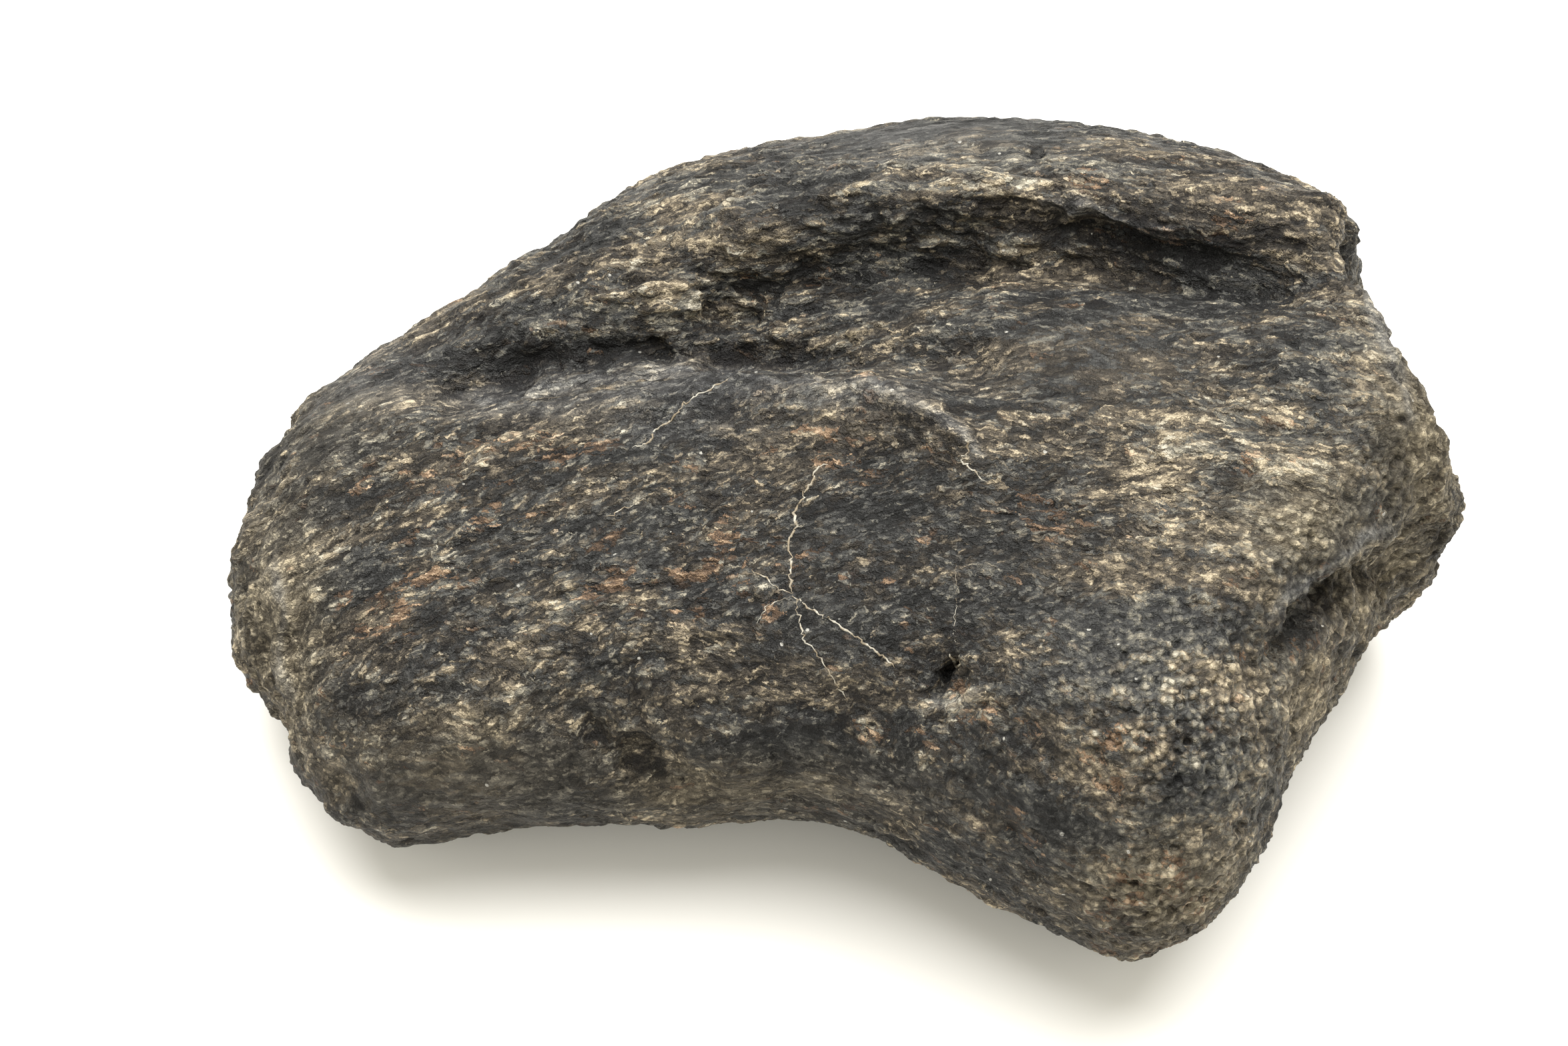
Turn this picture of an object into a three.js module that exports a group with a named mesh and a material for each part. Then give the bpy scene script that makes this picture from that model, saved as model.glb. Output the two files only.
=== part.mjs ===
// Fossil claw bone of a large meat-eating dinosaur, worn blunt at the tip.
// Millimetres, +Z up. The bone lies on one flank, as it rests on a table.
// X runs from the worn tip to the joint end, and Y from the belly of the claw to its back.
// One closed surface is drawn round a field that is negative inside the bone.

import * as THREE from "three";

// Driving dimensions
const TIP_X = -40;
const JOINT_X = 40;
const TIP_THICKNESS = 16;
const JOINT_THICKNESS = 28;
const CELL = 1.58;
const HALF_HEIGHT_IN_PLAN = 34;

// The taper starts ahead of the worn tip, where the claw's own tip was.
const TAPER_START_X = -50;

// The outline in plan, from the back corner of the joint clockwise, seen from above.
// edge is how far in from the outline the flank takes to reach its full height.
const OUTLINE = [
  { at: "back corner of the joint", x: 33, y: 19, edge: 6 },
  { at: "joint, upper hollow", x: 35, y: 16.5, edge: 4 },
  { at: "joint, upper step", x: 34.5, y: 13, edge: 4 },
  { at: "joint, upper lip", x: 36.3, y: 9, edge: 4 },
  { at: "joint, middle", x: 38, y: 4.5, edge: 6.5 },
  { at: "joint, farthest point", x: 40.5, y: -2, edge: 7 },
  { at: "joint, lower lip", x: 39, y: -4.5, edge: 6.5 },
  { at: "joint, under the lip", x: 35.5, y: -6.5, edge: 6 },
  { at: "heel, hind hollow", x: 32, y: -12.5, edge: 6 },
  { at: "heel, hind face", x: 28.4, y: -18.3, edge: 7 },
  { at: "heel, hind corner", x: 25, y: -26.4, edge: 8 },
  { at: "heel, lowest point", x: 19, y: -30.5, edge: 8 },
  { at: "heel, front slope", x: 12.2, y: -27.9, edge: 8 },
  { at: "belly, foot of the heel", x: 4.5, y: -23, edge: 8 },
  { at: "belly, waist", x: -1, y: -20.5, edge: 8 },
  { at: "belly, middle", x: -11, y: -20.5, edge: 8 },
  { at: "belly, front", x: -20.5, y: -20.5, edge: 8 },
  { at: "tip, lower corner", x: -28.5, y: -21, edge: 8 },
  { at: "tip, lower bevel", x: -33, y: -17.5, edge: 7 },
  { at: "tip, lower knob", x: -35, y: -13, edge: 6 },
  { at: "tip, blunt end", x: -38, y: -9, edge: 7 },
  { at: "tip, farthest point", x: -38.5, y: -5.4, edge: 7 },
  { at: "tip, upper nick", x: -37.8, y: 0.7, edge: 7 },
  { at: "tip, shoulder", x: -36.8, y: 5.3, edge: 9 },
  { at: "back, front slope", x: -30.6, y: 13, edge: 10 },
  { at: "back, front rise", x: -25.4, y: 16.5, edge: 11 },
  { at: "back, step", x: -18.8, y: 21.4, edge: 11 },
  { at: "back, rise", x: -12, y: 26.3, edge: 11 },
  { at: "back, crown front", x: 2.5, y: 29, edge: 11 },
  { at: "back, crown", x: 10.5, y: 29, edge: 11 },
  { at: "back, hind slope", x: 21.5, y: 26, edge: 9 },
];
const STEPS_PER_SPAN = 6;

// How square the bone's edges are in cross-section: 2 is an ellipse, more is squarer.
const EDGE_POWER = 2.1;

// The flanks are thickest along a line through the bone and fall away on both sides of it.
const THICK_LINE_Y = -4;
const FLANK_FALL = 0.25;
const FLANK_FALL_SPAN = 25;

// Ridges and grooves along the flanks: rise is their height, and reach how far they spread.
// The far flank has the same forms in a weaker state.
const FAR_SHARE = 0.6;
const FLANK_FORMS = [
  { at: "valley of the sheath groove", rise: -1.9, reach: 4.2,
    path: [[-25, 6.5], [-10, 8.3], [3, 10.3], [15, 11], [30, 8.5]] },
  { at: "front strand of the groove", rise: -1.9, reach: 2.1,
    path: [[-23, 6], [-16, 6.8], [-10, 7.4], [-4, 7], [3, 6], [8, 4]] },
  { at: "hind strand of the groove", rise: -2.7, reach: 2,
    path: [[-7, 11.8], [-2, 12.4], [5, 13], [11, 13.6], [17, 12.2], [27, 9.6]] },
  { at: "lip over the groove", rise: 1.6, reach: 2.1,
    path: [[-6, 16.2], [4, 17.6], [10, 17], [16, 15.8], [25, 12.8]] },
  { at: "crest under the groove", rise: 1.3, reach: 2,
    path: [[-27, 4], [-16, 4], [-10, 3.8], [-1, 2], [4, 0.6], [9, -3.5]] },
  { at: "smooth hollow by the joint", rise: -0.9, reach: 4,
    path: [[15, 3], [22, 4]] },
  { at: "hollow above the belly", rise: -1, reach: 3.5,
    path: [[-14, -16], [-4, -17], [4, -18]] },
  { at: "dome of the heel", rise: 1.2, reach: 5,
    path: [[14, -20], [20, -24]] },
];

// Dents that cut into an edge or an end, each along a path in space.
const DENTS = [
  { at: "notch under the joint", depth: 3, reach: 2.1,
    path: [[26, -18, 26], [29, -14, 25], [32, -10.5, 22], [35.5, -6.5, 17]] },
  { at: "nutrient hole", depth: 1.4, reach: 1.5,
    path: [[6.9, -18.3, 25], [6.9, -18.3, 22.5]] },
  { at: "pit by the belly", depth: 1.8, reach: 2,
    path: [[-16, -17.5, 19.5], [-12, -19, 17], [-10, -20, 14.5]] },
];

// The joint face is two shallow cups side by side with a blunt ridge between them.
const CUP_DEPTH = 2.2;
const CUP_OFFSET = 6.2;
const CUP_HALF_WIDTH = 6;
const CUP_MIDDLE_Y = 7;
const CUP_HALF_LENGTH = 13;
const CUP_START_X = 26;
const CUP_FULL_X = 34;

// The bone touches the table on three small flats, and stands clear of it between them.
const FLANK_CLEARANCE = 1.2;
const REST_SINK = 0.2;
const REST_POINTS = [
  { at: "joint, by the back", x: 22, y: 12, spread: 6 },
  { at: "heel", x: 17, y: -18, spread: 5 },
  { at: "front of the blade", x: -24, y: 0, spread: 6 },
];

const clamp = (value, low, high) => Math.min(high, Math.max(low, value));
const mix = (a, b, share) => a + (b - a) * share;

function smoothstep(low, high, value) {
  const share = clamp((value - low) / (high - low), 0, 1);
  return share * share * (3 - 2 * share);
}

// The outline as a closed smooth curve, sampled into short straight segments.
function sampleOutline() {
  const curve = new THREE.CatmullRomCurve3(
    OUTLINE.map((p) => new THREE.Vector3(p.x, p.y, p.edge)),
    true,
    "centripetal",
  );
  return curve.getPoints(OUTLINE.length * STEPS_PER_SPAN).slice(0, -1);
}

const RIM = sampleOutline();

// How far a point in plan lies inside the outline, and the edge width at the nearest rim.
function insideOutline(x, y) {
  let nearest = Infinity;
  let edge = 0;
  let inside = false;
  for (let i = 0; i < RIM.length; i++) {
    const a = RIM[i];
    const b = RIM[(i + 1) % RIM.length];
    const dx = b.x - a.x;
    const dy = b.y - a.y;
    const along = clamp(((x - a.x) * dx + (y - a.y) * dy) / (dx * dx + dy * dy), 0, 1);
    const distance = Math.hypot(x - a.x - dx * along, y - a.y - dy * along);
    if (distance < nearest) {
      nearest = distance;
      edge = mix(a.z, b.z, along);
    }
    if (a.y > y !== b.y > y && x < a.x + (dx * (y - a.y)) / dy) inside = !inside;
  }
  return { depth: inside ? nearest : -nearest, edge };
}

// A path as straight stretches, with a height of 0 where none is given.
function stretches(path) {
  const points = path.map(([x, y, z = 0]) => new THREE.Vector3(x, y, z));
  return points.slice(1).map((end, i) => new THREE.Line3(points[i], end));
}

const FLANK_LINES = FLANK_FORMS.map((form) => stretches(form.path));
const DENT_LINES = DENTS.map((dent) => stretches(dent.path));
const nearestPlace = new THREE.Vector3();

function distanceTo(lines, point) {
  let nearest = Infinity;
  for (const line of lines) {
    line.closestPointToPoint(point, true, nearestPlace);
    nearest = Math.min(nearest, nearestPlace.distanceTo(point));
  }
  return nearest;
}

const bell = (distance) => Math.exp(-distance * distance);

function flankForms(x, y) {
  const point = new THREE.Vector3(x, y, 0);
  let height = 0;
  FLANK_FORMS.forEach((form, i) => {
    height += form.rise * bell(distanceTo(FLANK_LINES[i], point) / form.reach);
  });
  return height;
}

function dents(x, y, z) {
  const point = new THREE.Vector3(x, y, z);
  let depth = 0;
  DENTS.forEach((dent, i) => {
    depth += dent.depth * bell(distanceTo(DENT_LINES[i], point) / dent.reach);
  });
  return depth;
}

// How far the joint face is cupped in at a point near it.
function jointCups(x, y, z) {
  const across = (Math.abs(z - middleHeight(x)) - CUP_OFFSET) / CUP_HALF_WIDTH;
  const along = (y - CUP_MIDDLE_Y) / CUP_HALF_LENGTH;
  const cup = Math.max(0, 1 - across * across) * Math.max(0, 1 - along * along);
  return CUP_DEPTH * cup * smoothstep(CUP_START_X, CUP_FULL_X, x);
}

// Half the bone's thickness at a point in plan, before the ridges and grooves.
function halfThickness(x, y) {
  const thickness = mix(TIP_THICKNESS, JOINT_THICKNESS, smoothstep(TAPER_START_X, JOINT_X, x));
  const off = (y - THICK_LINE_Y) / FLANK_FALL_SPAN;
  return (thickness / 2) * (1 - FLANK_FALL * off * off);
}

// Height of the bone's plane of symmetry above the table.
function middleHeight(x) {
  return halfThickness(x, THICK_LINE_Y) + FLANK_CLEARANCE;
}

function nearFlank(x, y) {
  return middleHeight(x) + halfThickness(x, y) + flankForms(x, y);
}

function farFlank(x, y) {
  return middleHeight(x) - halfThickness(x, y) - FAR_SHARE * flankForms(x, y);
}

// The far flank, swelled down to just past the table at each rest point.
function restingFlank(x, y) {
  let height = farFlank(x, y);
  for (const p of REST_POINTS) {
    const drop = farFlank(p.x, p.y) + REST_SINK;
    height -= drop * bell(Math.hypot(x - p.x, y - p.y) / p.spread / Math.SQRT2);
  }
  return height;
}

// Negative inside the bone, positive outside, roughly in millimetres.
function field(x, y, z) {
  const outline = insideOutline(x, y);
  const depth = outline.depth - jointCups(x, y, z);
  const middle = middleHeight(x);
  const half = z > middle ? nearFlank(x, y) - middle : middle - restingFlank(x, y);
  const inward = Math.max(0, 1 - depth / outline.edge);
  const upward = Math.abs(z - middle) / half;
  const ring = (inward ** EDGE_POWER + upward ** EDGE_POWER) ** (1 / EDGE_POWER);
  return Math.max((ring - 1) * half + dents(x, y, z), -z);
}

// A grid of points a cell apart that takes in the whole bone with room to spare.
const MARGIN = 2 * CELL;
const LOW = new THREE.Vector3(TIP_X - MARGIN, -HALF_HEIGHT_IN_PLAN - MARGIN, -MARGIN - CELL / 2);
const HIGH = new THREE.Vector3(JOINT_X + MARGIN, HALF_HEIGHT_IN_PLAN + MARGIN, JOINT_THICKNESS + MARGIN);
const CELL_RIM = 0.03;
const FLAT_SNAP = 0.08;
const SLOPE_STEP = 0.05;
const SMALLEST_SLOPE = 0.01;
const SETTLE_ROUNDS = 3;
const CLEAR_ROUNDS = 3;
const WEAKEST = 0.001;
const COUNT = HIGH.clone().sub(LOW).divideScalar(CELL).ceil().addScalar(1);

function gradient(x, y, z) {
  const step = SLOPE_STEP;
  return new THREE.Vector3(
    field(x + step, y, z) - field(x - step, y, z),
    field(x, y + step, z) - field(x, y - step, z),
    field(x, y, z + step) - field(x, y, z - step),
  ).divideScalar(2 * step);
}

// A square of four grid points that are inside and outside by turns would make four faces meet
// at one edge, so its weakest point changes sides.
function clearTurns(value, index) {
  const [nx, ny, nz] = COUNT.toArray();
  for (let round = 0; round < CLEAR_ROUNDS; round++)
    for (let k = 0; k < nz - 1; k++)
      for (let j = 0; j < ny - 1; j++)
        for (let i = 0; i < nx - 1; i++)
          for (const corners of [
            [index(i, j, k), index(i + 1, j, k), index(i + 1, j + 1, k), index(i, j + 1, k)],
            [index(i, j, k), index(i, j + 1, k), index(i, j + 1, k + 1), index(i, j, k + 1)],
            [index(i, j, k), index(i, j, k + 1), index(i + 1, j, k + 1), index(i + 1, j, k)],
          ]) {
            const [a, b, c, d] = corners.map((corner) => value[corner] < 0);
            if (a !== c || b !== d || a === b) continue;
            corners.sort((one, other) => Math.abs(value[one]) - Math.abs(value[other]));
            value[corners[0]] = value[corners[0]] < 0 ? WEAKEST : -WEAKEST;
          }
}

// Draws one point in each cell that the surface crosses, and a quad round each crossed edge.
function drawSurface() {
  const [nx, ny, nz] = COUNT.toArray();
  const index = (i, j, k) => i + nx * (j + ny * k);
  const value = new Float64Array(nx * ny * nz);
  for (let k = 0; k < nz; k++)
    for (let j = 0; j < ny; j++)
      for (let i = 0; i < nx; i++)
        value[index(i, j, k)] = field(LOW.x + i * CELL, LOW.y + j * CELL, LOW.z + k * CELL);

  clearTurns(value, index);

  const vertexOf = new Int32Array(nx * ny * nz).fill(-1);
  const places = [];
  for (let k = 0; k < nz - 1; k++)
    for (let j = 0; j < ny - 1; j++)
      for (let i = 0; i < nx - 1; i++) {
        const place = cellPoint(i, j, k, (a, b, c) => value[index(a, b, c)]);
        if (!place) continue;
        vertexOf[index(i, j, k)] = places.length;
        places.push(settle(place, new THREE.Vector3(i, j, k)));
      }

  const triangles = [];
  const addQuad = (corners, turned) => {
    const [a, b, c, d] = corners.map(([i, j, k]) => vertexOf[index(i, j, k)]);
    const quad = turned ? [a, d, c, b] : [a, b, c, d];
    const p = quad.map((v) => places[v]);
    if (p[0].distanceTo(p[2]) < p[1].distanceTo(p[3]))
      triangles.push(quad[0], quad[1], quad[2], quad[0], quad[2], quad[3]);
    else triangles.push(quad[1], quad[2], quad[3], quad[1], quad[3], quad[0]);
  };
  for (let k = 1; k < nz - 1; k++)
    for (let j = 1; j < ny - 1; j++)
      for (let i = 1; i < nx - 1; i++) {
        const here = value[index(i, j, k)] < 0;
        if (here !== value[index(i + 1, j, k)] < 0)
          addQuad([[i, j - 1, k - 1], [i, j, k - 1], [i, j, k], [i, j - 1, k]], !here);
        if (here !== value[index(i, j + 1, k)] < 0)
          addQuad([[i - 1, j, k - 1], [i - 1, j, k], [i, j, k], [i, j, k - 1]], !here);
        if (here !== value[index(i, j, k + 1)] < 0)
          addQuad([[i - 1, j - 1, k], [i, j - 1, k], [i, j, k], [i - 1, j, k]], !here);
      }
  return { places, triangles };
}

// The mean of the places where the surface crosses a cell's edges, or null if none does.
function cellPoint(i, j, k, valueAt) {
  const sum = new THREE.Vector3();
  let crossings = 0;
  for (let axis = 0; axis < 3; axis++)
    for (let side = 0; side < 4; side++) {
      const start = [i, j, k];
      start[(axis + 1) % 3] += side & 1;
      start[(axis + 2) % 3] += side >> 1;
      const end = start.slice();
      end[axis] += 1;
      const a = valueAt(...start);
      const b = valueAt(...end);
      if (a < 0 === b < 0) continue;
      const at = new THREE.Vector3(...start);
      at.setComponent(axis, start[axis] + a / (a - b));
      sum.add(at);
      crossings++;
    }
  return crossings ? sum.multiplyScalar(CELL / crossings).add(LOW) : null;
}

// Moves a point along the field's slope onto the surface, and keeps it inside its own cell.
function settle(place, cell) {
  for (let round = 0; round < SETTLE_ROUNDS; round++) {
    const slope = gradient(place.x, place.y, place.z);
    const step = field(place.x, place.y, place.z) / Math.max(slope.lengthSq(), SMALLEST_SLOPE);
    place.addScaledVector(slope, -step);
  }
  const low = cell.clone().addScalar(CELL_RIM).multiplyScalar(CELL).add(LOW);
  const high = cell.clone().addScalar(1 - CELL_RIM).multiplyScalar(CELL).add(LOW);
  place.clamp(low, high);
  if (place.z < FLAT_SNAP) place.z = 0;
  return place;
}

// The origin is under the middle of the bone, on the table.
function centred(places) {
  const box = new THREE.Box3().setFromPoints(places);
  const middle = box.getCenter(new THREE.Vector3());
  return places.flatMap((p) => [p.x - middle.x, p.y - middle.y, p.z - box.min.z]);
}

function clawBone() {
  const { places, triangles } = drawSurface();
  const geometry = new THREE.BufferGeometry();
  geometry.setAttribute("position", new THREE.Float32BufferAttribute(centred(places), 3));
  geometry.setIndex(triangles);
  geometry.computeVertexNormals();
  const stone = new THREE.MeshStandardMaterial({
    color: 0x4b4742,
    roughness: 0.78,
    metalness: 0,
  });
  const mesh = new THREE.Mesh(geometry, stone);
  mesh.name = "claw_bone";
  return mesh;
}

const claw = new THREE.Group();
claw.add(clawBone());

export default claw;
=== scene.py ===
# Fossil claw bone of a large meat-eating dinosaur: its fine surface, mineral veins and finish.
# Places on the near flank are given as pixels of the photograph, 2350 by 1568.
# Lengths are in millimetres until a mesh is made, and meshes are in metres.

import itertools
import math

import bmesh
import bpy
import numpy as np
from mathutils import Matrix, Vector
from mathutils.bvhtree import BVHTree


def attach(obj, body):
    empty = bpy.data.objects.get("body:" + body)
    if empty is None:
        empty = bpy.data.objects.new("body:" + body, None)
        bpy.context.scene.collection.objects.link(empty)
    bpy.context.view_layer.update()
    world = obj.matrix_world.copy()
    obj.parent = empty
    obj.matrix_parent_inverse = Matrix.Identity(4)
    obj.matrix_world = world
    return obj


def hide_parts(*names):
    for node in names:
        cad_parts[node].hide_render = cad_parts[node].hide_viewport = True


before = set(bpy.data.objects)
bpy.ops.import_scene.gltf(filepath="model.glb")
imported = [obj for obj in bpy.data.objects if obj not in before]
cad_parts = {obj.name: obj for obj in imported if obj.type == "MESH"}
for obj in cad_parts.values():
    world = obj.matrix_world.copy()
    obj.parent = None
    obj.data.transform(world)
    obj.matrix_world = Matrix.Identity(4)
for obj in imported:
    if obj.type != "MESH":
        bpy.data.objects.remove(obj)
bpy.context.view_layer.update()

MM = 0.001

# Camera
PHOTO_SIZE = (2350, 1568)
LENS = 100
SENSOR = 36
ELEVATION = math.radians(60)
DISTANCE = 281.4
TARGET = np.array([-4.09, 0.9, 11.0])
BACK = np.array([0, -math.cos(ELEVATION), math.sin(ELEVATION)])
RIGHT = np.array([1.0, 0, 0])
UP = np.array([0, math.sin(ELEVATION), math.cos(ELEVATION)])
EYE = TARGET + BACK * DISTANCE
FOCAL_PIXELS = LENS / SENSOR * PHOTO_SIZE[0]
PIXELS_PER_MM = FOCAL_PIXELS / DISTANCE

# The bone's plane of symmetry rises from the tip to the joint.
MIDDLE_AT_TIP = 9.2
MIDDLE_AT_JOINT = 15.0
TIP_X = -50
JOINT_X = 40

# The grain runs in wide arcs round a point below the belly.
GRAIN_CENTRE = (1.6, -85.0)
GRAIN_RADIUS = 92

# How much of the near flank's forms the hidden flank has
FAR_SHARE = 0.6

# Paths that are both shaped and painted
HOLLOW_PATH = [(955, 396), (1030, 404), (1100, 420)]
BELLY_PIT_PATH = [(850, 1050), (900, 1105), (950, 1130), (1000, 1160)]
CAVITY_PATH = [(1530, 228), (1572, 226)]
WRINKLE_PATH = [(410, 818), (407, 857), (422, 906), (418, 971), (422, 1010), (440, 1060)]
JOINT_RIM_PATH = [(2030, 385), (2050, 440), (2075, 505), (2097, 565), (2112, 640)]

# Grooves, ridges and pits of the near flank: rise is in millimetres, width in photo pixels.
FORMS = [
    {"at": "slit under the lip, front", "rise": -0.8, "width": 24,
     "path": [(1080, 418), (1160, 408), (1240, 396), (1320, 384), (1400, 362), (1480, 348)]},
    {"at": "slit under the lip, hind", "rise": -1.0, "width": 16,
     "path": [(1560, 340), (1640, 352), (1720, 372), (1800, 384), (1880, 398)]},
    {"at": "hollow below the lip", "rise": -0.5, "width": 34,
     "path": [(1370, 392), (1430, 400), (1500, 392)]},
    {"at": "front strand of the groove", "rise": -1.0, "width": 36,
     "path": [(700, 572), (780, 548), (860, 530), (950, 518), (1050, 524), (1150, 532), (1290, 548)]},
    {"at": "short slit above the strand", "rise": -0.35, "width": 16,
     "path": [(880, 474), (980, 458), (1060, 466), (1130, 482)]},
    {"at": "dark hollows in the valley", "rise": -0.6, "width": 22, "path": HOLLOW_PATH},
    {"at": "rim of the front strand", "rise": 0.65, "width": 15,
     "path": [(720, 600), (800, 588), (877, 572), (988, 556), (1088, 562), (1222, 573), (1318, 585),
              (1400, 620), (1470, 690)]},
    {"at": "lip over the slit", "rise": 0.65, "width": 22,
     "path": [(1240, 345), (1320, 312), (1400, 300), (1500, 296), (1600, 304), (1700, 330), (1780, 345),
              (1860, 372)]},
    {"at": "splinter on the lip", "rise": 0.45, "width": 12,
     "path": [(1560, 300), (1640, 318), (1700, 345)]},
    {"at": "ledge above the lip", "rise": 0.4, "width": 16,
     "path": [(1180, 292), (1290, 268), (1400, 256), (1520, 262)]},
    {"at": "ledge on the front of the back", "rise": 0.35, "width": 18,
     "path": [(860, 372), (940, 340), (1040, 322), (1140, 318)]},
    {"at": "notch under the joint", "rise": -1.5, "width": 20,
     "path": [(1890, 1005), (1922, 960), (1960, 914), (2010, 868), (2080, 845)]},
    {"at": "rim of the notch", "rise": 0.4, "width": 13,
     "path": [(1880, 950), (1926, 905), (1964, 872), (1995, 850), (2037, 815), (2090, 790)]},
    {"at": "nutrient hole", "rise": -2.4, "width": 29,
     "path": [(1404, 1006), (1426, 1018)]},
    {"at": "rim of the hole", "rise": 0.4, "width": 14,
     "path": [(1385, 1050), (1420, 1068), (1455, 1055), (1468, 1020), (1450, 985)]},
    {"at": "swelling below the hole", "rise": 0.35, "width": 24,
     "path": [(1400, 1068), (1450, 1075), (1490, 1045)]},
    {"at": "pit by the belly", "rise": -0.8, "width": 24, "path": BELLY_PIT_PATH},
    {"at": "ridge beside the pit", "rise": 0.45, "width": 22,
     "path": [(900, 1060), (960, 1090), (1040, 1120), (1110, 1150)]},
    {"at": "small cavity in the back", "rise": -0.9, "width": 11, "path": CAVITY_PATH},
    {"at": "ledge under the back's smooth band", "rise": -0.35, "width": 16,
     "path": [(1060, 245), (1160, 228), (1260, 222), (1400, 222), (1520, 236)]},
    {"at": "wrinkle along the tip", "rise": 0.35, "width": 12, "path": WRINKLE_PATH},
    {"at": "hollow behind the wrinkle", "rise": -0.35, "width": 22,
     "path": [(445, 830), (450, 900), (452, 1000)]},
    {"at": "border of the joint face", "rise": 0.3, "width": 12, "path": JOINT_RIM_PATH},
]

# Painted lines: pale on crests and rims, dark in slits. Width is in photo pixels.
PAINTED_LINES = {
    # Pale lines: partly pale bone, partly a painted highlight on crests, rims and edges
    "pale": [
        {"at": "crest", "width": 8, "strength": 1.1,
         "path": [(700, 606), (760, 596), (830, 582), (900, 566), (990, 555), (1080, 556), (1160, 566),
                  (1240, 574)]},
        {"at": "hind end of the crest", "width": 8, "strength": 0.8,
         "path": [(1290, 566), (1340, 590), (1400, 618), (1440, 650), (1480, 700)]},
        {"at": "branch of the crest", "width": 8, "strength": 0.7,
         "path": [(1080, 572), (1040, 600), (1010, 630), (975, 655)]},
        {"at": "wrinkle along the tip", "width": 10, "strength": 0.6, "path": WRINKLE_PATH},
        {"at": "upper rim of the notch", "width": 10, "strength": 1.0,
         "path": [(1900, 925), (1926, 898), (1964, 868), (1995, 846), (2037, 812), (2090, 786)]},
        {"at": "border of the joint face", "width": 8, "strength": 0.8, "path": JOINT_RIM_PATH},
        {"at": "rim of the hole", "width": 8, "strength": 0.4,
         "path": [(1388, 1042), (1420, 1058), (1450, 1052), (1472, 1030)]},
        {"at": "edge of the lip", "width": 10, "strength": 0.7,
         "path": [(1560, 300), (1640, 318), (1700, 338), (1780, 352)]},
    ],
    # Dark lines: painted shade in slits, hollows, pits, the notch and the hole, and under the lip
    "shade": [
        {"at": "front strand", "width": 30, "strength": 1.0,
         "path": [(700, 574), (780, 550), (860, 532), (950, 520), (1050, 524), (1150, 532), (1290, 546)]},
        {"at": "slit under the lip, front", "width": 24, "strength": 0.7,
         "path": [(1080, 415), (1160, 408), (1240, 398), (1320, 388)]},
        {"at": "dark patch under the lip", "width": 38, "strength": 1.0,
         "path": [(1370, 388), (1430, 384), (1490, 372)]},
        {"at": "slit under the lip, hind", "width": 20, "strength": 1.0,
         "path": [(1560, 340), (1640, 352), (1720, 370), (1800, 382), (1880, 396)]},
        {"at": "notch under the joint", "width": 26, "strength": 1.0,
         "path": [(1885, 1005), (1922, 960), (1960, 918), (2010, 876), (2085, 850)]},
        {"at": "nutrient hole", "width": 24, "strength": 1.0,
         "path": [(1412, 1010), (1424, 1020)]},
        {"at": "pit by the belly", "width": 22, "strength": 0.7, "path": BELLY_PIT_PATH},
        {"at": "cavity in the back", "width": 11, "strength": 1.0, "path": CAVITY_PATH},
        {"at": "hollow in the valley", "width": 20, "strength": 0.6, "path": HOLLOW_PATH},
    ],
}

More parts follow.
